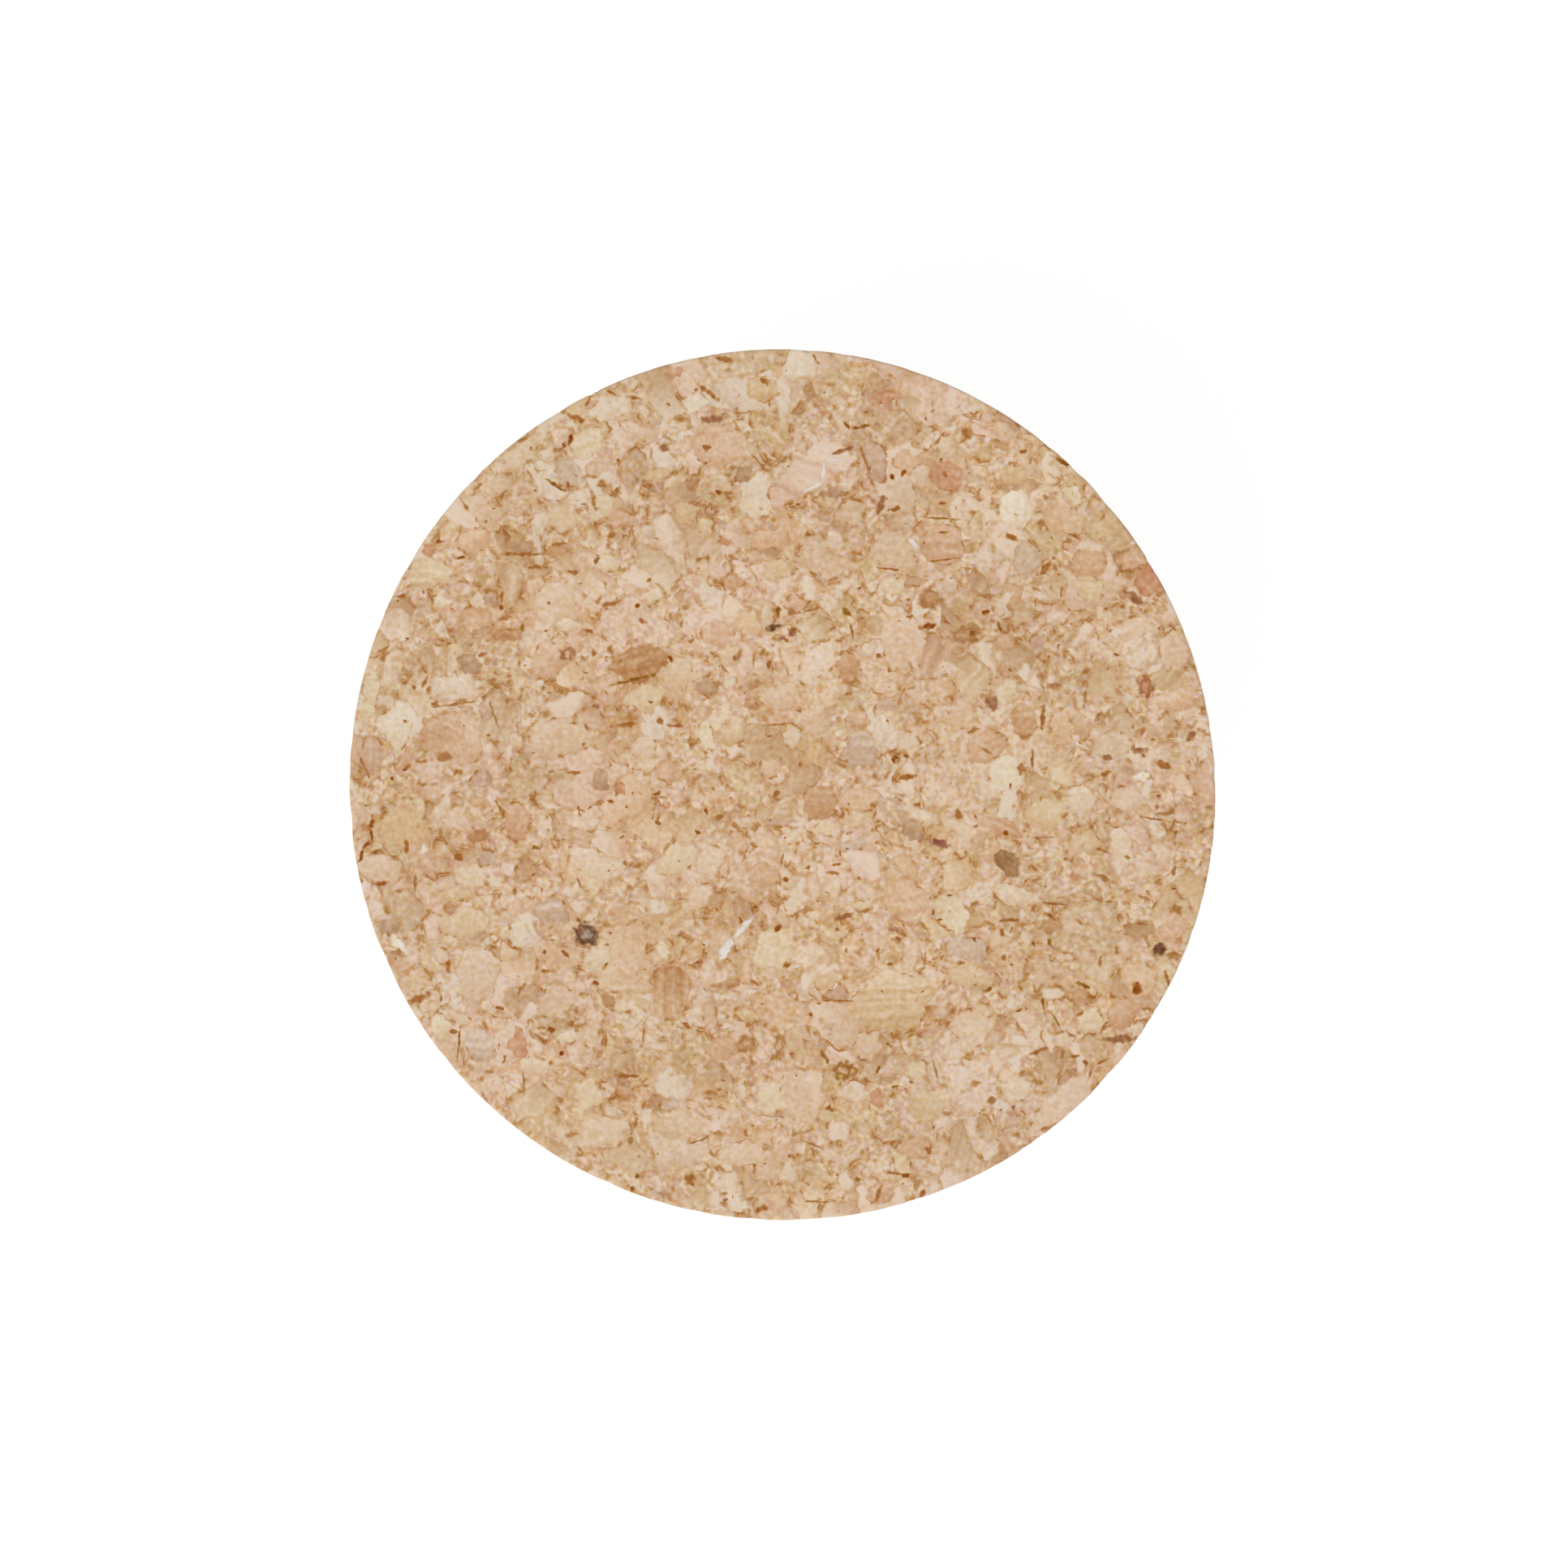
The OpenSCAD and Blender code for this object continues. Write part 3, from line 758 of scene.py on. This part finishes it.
    def set_coarseness(self):
        """How much of the crushed texture shows in each granule and flake."""
        make = self.make
        self.one, self.two, self.three = make.parts(self.chance)
        coarse = make.blend(self.loose, make.fade(self.two, 0.0, 1.0, 0.0, 0.6), 0.85, "FLOAT")
        self.coarse = make.blend(self.laid, coarse, 0.2, "FLOAT")

    def draw_growth_lines(self):
        """Growth lines that run one way through each granule, and along each flake."""
        make = self.make
        axis = make.vector("NORMALIZE", make.vector("SUBTRACT", self.chance, HALF))
        across = make.join(make.calc("MULTIPLY", make.calc("SINE", self.flake_turn), -1.0),
                           make.calc("COSINE", self.flake_turn))
        self.axis = make.blend(self.laid, axis, across, "VECTOR")
        wavy = make.vector("ADD", self.place, make.vector("SCALE", self.gentle, 0.6))
        along = make.vector("DOT_PRODUCT", wavy, self.axis)
        seed = make.calc("MULTIPLY_ADD", self.three, 90.0, along)
        self.lines = make.node("ShaderNodeTexNoise", {"W": seed, "Scale": 2.6, "Detail": 0.8},
                               noise_dimensions="1D").outputs["Fac"]

    def deepen(self):
        """Depth of shade, from granule to granule and within each, with painted shade on one side of each
        granule and a painted shadow along its edge.
        """
        make = self.make
        depth = make.calc("MULTIPLY_ADD", make.curve(self.level, DEPTH_BENDS), 2.2, -0.96)
        depth = make.calc("MULTIPLY_ADD", depth, self.reach, 0.84)
        depth = make.blend(self.laid, depth, 0.96, "FLOAT")
        fine = make.calc("MULTIPLY", self.coarse, self.fines_in)
        depth = make.calc("ADD", depth, make.calc(
            "MULTIPLY", make.swing(make.parts(self.fines["Color"])[1], 0.8), fine))
        # painted shade: each granule is lighter towards one side and darker towards the other
        painted_side_shade = make.vector("DOT_PRODUCT", self.inside, self.axis)
        painted_side_shade = make.calc("MULTIPLY", painted_side_shade, make.fade(self.two, 0.0, 1.0, 0.5, 0.1))
        depth = make.calc("SUBTRACT", depth, painted_side_shade)
        depth = make.calc("MULTIPLY_ADD", self.coarse, 0.04, depth)
        grain = make.fade(self.three, 0.0, 1.0, 0.1, 0.9)
        grain = make.blend(self.laid, grain, self.flake_grain, "FLOAT")
        self.speckle = make.cloud(self.place, 0.28, 0.5)["Fac"]
        blotch = make.cloud(self.place, 0.6, 2, 0.6)["Fac"]
        patch = make.cloud(self.place, 6.0, 3)["Fac"]
        for value, amount in (
                (self.lines, grain),
                (self.speckle, make.blend(self.coarse, 0.5, 1.3, "FLOAT")),
                (blotch, make.blend(self.coarse, 0.45, 0.9, "FLOAT")),
                (patch, 0.78)):
            depth = make.calc("SUBTRACT", depth, make.swing(value, amount))
        shadow = make.fade(self.edge, 0.0, 0.35, 1.0, 0.0)
        self.depth = make.calc("MULTIPLY_ADD", shadow, 0.1, depth)

    def darken_seams(self):
        """Brown seams, dark along some stretches only, and brown crumbs between the granules."""
        make = self.make
        self.stretch = make.cloud(self.place, 0.7, 2, 0.6)["Fac"]
        self.crumb = make.cloud(make.vector("ADD", self.bent, (0.0, 0.0, 60.0)), CRUMB, 1)["Fac"]
        seam = make.calc("MULTIPLY", make.fade(self.edge, 0.0, 0.06, 0.3, 1.0),
                         make.fade(self.edge, 0.05, 0.20, 1.0, 0.0))
        run = make.fade(make.cloud(self.place, 1.4, 2, 0.6)["Fac"], 0.42, 0.62, 0.25, 1.35)
        run = make.calc("MULTIPLY", run, make.fade(self.stretch, 0.46, 0.66))
        seams = make.calc("MULTIPLY", seam, make.calc("ADD", run, 0.1))
        fine_seams = make.calc("MULTIPLY", make.fade(self.fines_edge, 0.0, 0.11, 1.0, 0.0), self.coarse)
        fine_seams = make.calc("MULTIPLY", fine_seams, make.fade(self.stretch, 0.50, 0.70, 0.04, 0.7))
        litter = make.cloud(self.place, 1.3, 2)["Fac"]
        crumbs = make.calc("MULTIPLY", make.fade(self.crumb, 0.56, 0.75),
                           make.fade(litter, 0.46, 0.66, 0.05, 1.2))
        crumbs = make.calc("MULTIPLY", crumbs, make.blend(self.coarse, 0.12, 1.0, "FLOAT"))
        self.dark = make.calc("MAXIMUM", make.calc("MAXIMUM", seams, fine_seams), crumbs)
        self.depth = make.calc("MULTIPLY_ADD", self.dark, 0.92, self.depth)

    def scatter_bark(self):
        """Specks of bark, in loose clusters, and the limits of the depth of shade."""
        make = self.make
        speck = make.cells(make.vector("ADD", self.bent, (0.0, 40.0, 0.0)), SPECK)
        held, size, _ = make.parts(speck["Color"])
        cluster = make.cloud(self.place, 2.2, 1)["Fac"]
        radius = make.calc("MULTIPLY", size, make.fade(cluster, 0.4, 0.7, 0.12, 0.3))
        radius = make.calc("MULTIPLY", radius, make.calc("LESS_THAN", held, SPECK_SHARE))
        ragged = make.calc("MULTIPLY_ADD", speck["Distance"], SPECK, make.swing(self.crumb, 0.8))
        self.bark = make.fade(make.calc("SUBTRACT", radius, ragged), -0.07, 0.07)
        depth = make.calc("MULTIPLY_ADD", self.bark, 1.7, self.depth)
        depth = make.calc("MULTIPLY_ADD", depth, 0.90, 0.095)
        self.depth = make.calc("SMOOTH_MAX", depth, 0.6, 0.3)

    def colour(self):
        """Hue of each granule and flake, with warmer and cooler spots and rusty seams."""
        make = self.make
        hue = make.blend(self.laid, make.shades(self.one, GRANULE_HUES), self.read("flake_shade"))
        warmth = make.vector("SCALE", self.drift(0.35, 1), make.fade(self.coarse, 0.0, 0.85, 0.4, 1.35))
        warmth = make.vector("MULTIPLY_ADD", warmth, (0.22, 0.0, 0.78), (1.0, 1.0, 1.03))
        blush = make.vector("MULTIPLY_ADD", self.drift(9.0, 3), (0.10, 0.0, 0.22), (1.0, 1.0, 1.0))
        hue = make.vector("MULTIPLY", make.vector("MULTIPLY", hue, warmth), blush)
        rust = make.calc("MULTIPLY", make.calc("MAXIMUM", self.dark, self.bark), 0.9, clamp=True)
        self.hue = make.blend(rust, hue, CORK["rust"])

    def lay_flecks(self):
        """Lays the ragged flecks over all the rest, and the rings, which are open in the middle."""
        make = self.make
        form = make.parts(self.read("fleck_form"))
        ragged = make.vector("ADD", self.place, make.vector("SCALE", self.rough, 0.14))
        fleck = in_mark(make, ragged, make.parts(self.read("fleck_place")), form)
        uneven = make.calc("ADD", make.swing(self.crumb, 1.2), make.swing(self.speckle, 0.9))
        far = make.calc("ADD", make.vector("LENGTH", fleck), uneven)
        hollow = make.calc("MULTIPLY", form[2], make.fade(far, 0.3, 0.75, 1.0, 0.0))
        shown = make.calc("MULTIPLY", make.fade(far, 0.55, 1.4, 1.0, 0.0),
                          make.calc("SUBTRACT", 1.0, hollow))
        shown = make.calc("MULTIPLY", shown, make.fade(self.stretch, 0.35, 0.55, 0.85, 1.0))
        fleck_shade = self.read("fleck_shade")
        self.hue = make.blend(shown, self.hue, fleck_shade)
        fleck_depth = make.calc("SUBTRACT", FLECK_DEPTH, make.swing(self.speckle, 1.5))
        self.depth = make.blend(shown, self.depth, fleck_depth, "FLOAT")
        # the darker a fleck is, the deeper it lies
        sunk = make.fade(make.parts(fleck_shade)[0], 0.58, 0.79, 1.0, 0.0)
        self.dark = make.calc("MAXIMUM", self.dark, make.calc("MULTIPLY", shown, sunk))


# ---------------------------------------------------------------- materials
PORE = 0.22                     # size of the open cells of the ground face, in mm
PORE_DEEP = 0.04 * MM


def cork_material():
    material = bpy.data.materials.new("pressed_cork")
    material.use_nodes = True
    make = Wiring(material.node_tree)
    shader = material.node_tree.nodes["Principled BSDF"]
    coordinates = make.node("ShaderNodeTexCoord", {}).outputs["Object"]
    place = make.vector("SCALE", coordinates, 1 / MM)

    def read(name):
        return make.node("ShaderNodeAttribute", {}, attribute_name=name).outputs["Vector"]

    cork = PressedCork(make, place, read)
    colour = make.node("ShaderNodeGamma", {"Color": cork.hue, "Gamma": cork.depth}).outputs[0]
    make.tree.links.new(colour, shader.inputs["Base Color"])
    # the ground face is pitted with open cells, which are the roughest spots
    pores = make.cloud(place, PORE, 1)["Fac"]
    make.tree.links.new(make.fade(pores, 0.3, 0.65, 0.95, 0.78), shader.inputs["Roughness"])
    pitted = make.node("ShaderNodeBump", {"Height": pores, "Distance": PORE_DEEP}).outputs[0]
    make.tree.links.new(pitted, shader.inputs["Normal"])
    shader.inputs["Specular IOR Level"].default_value = 0.12
    return material


def relief(piece):
    """Sinks seams and pits into the skin, where the pattern has them."""
    tree = bpy.data.node_groups.new("relief", "GeometryNodeTree")
    tree.interface.new_socket("Geometry", in_out="INPUT", socket_type="NodeSocketGeometry")
    tree.interface.new_socket("Geometry", in_out="OUTPUT", socket_type="NodeSocketGeometry")
    make = Wiring(tree)
    source = make.node("NodeGroupInput", {}).outputs[0]
    place = make.vector("SCALE", make.node("GeometryNodeInputPosition", {}).outputs[0], 1 / MM)

    def read(name):
        inputs = {"Name": name.replace("_", FOR_RELIEF + "_")}
        return make.node("GeometryNodeInputNamedAttribute", inputs, data_type="FLOAT_VECTOR").outputs[0]

    cork = PressedCork(make, place, read)
    normal = make.node("GeometryNodeInputNormal", {}).outputs[0]
    shift = make.vector("SCALE", normal, make.calc("MULTIPLY", cork.height, MM))
    moved = make.node("GeometryNodeSetPosition", {"Geometry": source, "Offset": shift}).outputs[0]
    make.node("NodeGroupOutput", {0: moved})
    modifier = piece.modifiers.new("relief", "NODES")
    modifier.node_group = tree
    bpy.context.view_layer.objects.active = piece
    bpy.ops.object.modifier_apply(modifier=modifier.name)
    layers = piece.data.attributes
    for name in [layer.name for layer in layers if FOR_RELIEF in layer.name]:
        layers.remove(layers[name])


# ---------------------------------------------------------------- floor, lamps and camera
SKY = 0.70                      # strength of the light from all round
SUN = 1.18                      # strength of the soft sun
SUN_WIDE = 35                   # how wide the sun looks, in degrees
SUN_TILT = 38                   # how far it stands from straight above, in degrees
SUN_TURN = -40                  # which side it stands on, in degrees
FLOOR_GLOW = 1.06               # strength of the floor's own white, for the camera
GLOW_SHARE = 0.85               # share of that white, which leaves the object's shadow showing


def seen_directly(make):
    """One where a ray comes from the camera or off something glossy, and otherwise nothing."""
    rays = make.node("ShaderNodeLightPath", {}).outputs
    return make.calc("MAXIMUM", rays["Is Camera Ray"],
                     make.calc("MAXIMUM", rays["Is Glossy Ray"], rays["Is Transmission Ray"]))


def flat_floor():
    bpy.ops.object.select_all(action="DESELECT")
    bpy.ops.mesh.primitive_plane_add(size=4.0)
    floor = bpy.context.object
    floor.name = "floor"
    material = bpy.data.materials.new("white_floor")
    material.use_nodes = True
    make = Wiring(material.node_tree)
    lit = material.node_tree.nodes["Principled BSDF"]
    lit.inputs["Base Color"].default_value = (0.95, 0.95, 0.95, 1)
    lit.inputs["Roughness"].default_value = 0.9
    glow = make.node("ShaderNodeEmission", {"Color": (1, 1, 1, 1), "Strength": FLOOR_GLOW}).outputs[0]
    share = make.calc("MULTIPLY", seen_directly(make), GLOW_SHARE)
    mix = make.node("ShaderNodeMixShader", {0: share, 1: lit.outputs[0], 2: glow}).outputs[0]
    make.tree.links.new(mix, material.node_tree.nodes["Material Output"].inputs["Surface"])
    floor.data.materials.append(material)


def studio():
    """A pale sky that lights evenly and shows as white, and a large soft sun."""
    world = bpy.data.worlds.new("studio")
    bpy.context.scene.world = world
    world.use_nodes = True
    make = Wiring(world.node_tree)
    sky = world.node_tree.nodes["Background"].inputs
    sky["Color"].default_value = (1, 1, 1, 1)
    strength = make.calc("MULTIPLY_ADD", seen_directly(make), 1.0 - SKY, SKY)
    make.tree.links.new(strength, sky["Strength"])
    bpy.ops.object.light_add(type="SUN", rotation=(math.radians(SUN_TILT), 0, math.radians(SUN_TURN)))
    sun = bpy.context.object
    sun.name = "soft_sun"
    sun.data.angle = math.radians(SUN_WIDE)
    sun.data.energy = SUN


def look_down(lens=90, width_seen=0.0897):
    camera = bpy.data.cameras.new("camera")
    camera.lens = lens
    seat = bpy.data.objects.new("camera", camera)
    bpy.context.scene.collection.objects.link(seat)
    distance = width_seen * lens / camera.sensor_width
    seat.location = (0, 0, HEIGHT + distance)
    camera.clip_start = 0.01
    bpy.context.scene.camera = seat


# ---------------------------------------------------------------- the object
plug = turned_plug()
lay_out(plug)
wear(plug)
lay_marks(plug)
relief(plug)
plug.data.materials.clear()
plug.data.materials.append(cork_material())
bpy.ops.object.select_all(action="DESELECT")
plug.select_set(True)
bpy.context.view_layer.objects.active = plug
bpy.ops.object.shade_smooth()
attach(plug, "root")
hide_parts("stopper")

flat_floor()
studio()
look_down()
bpy.context.scene.view_settings.view_transform = "Standard"
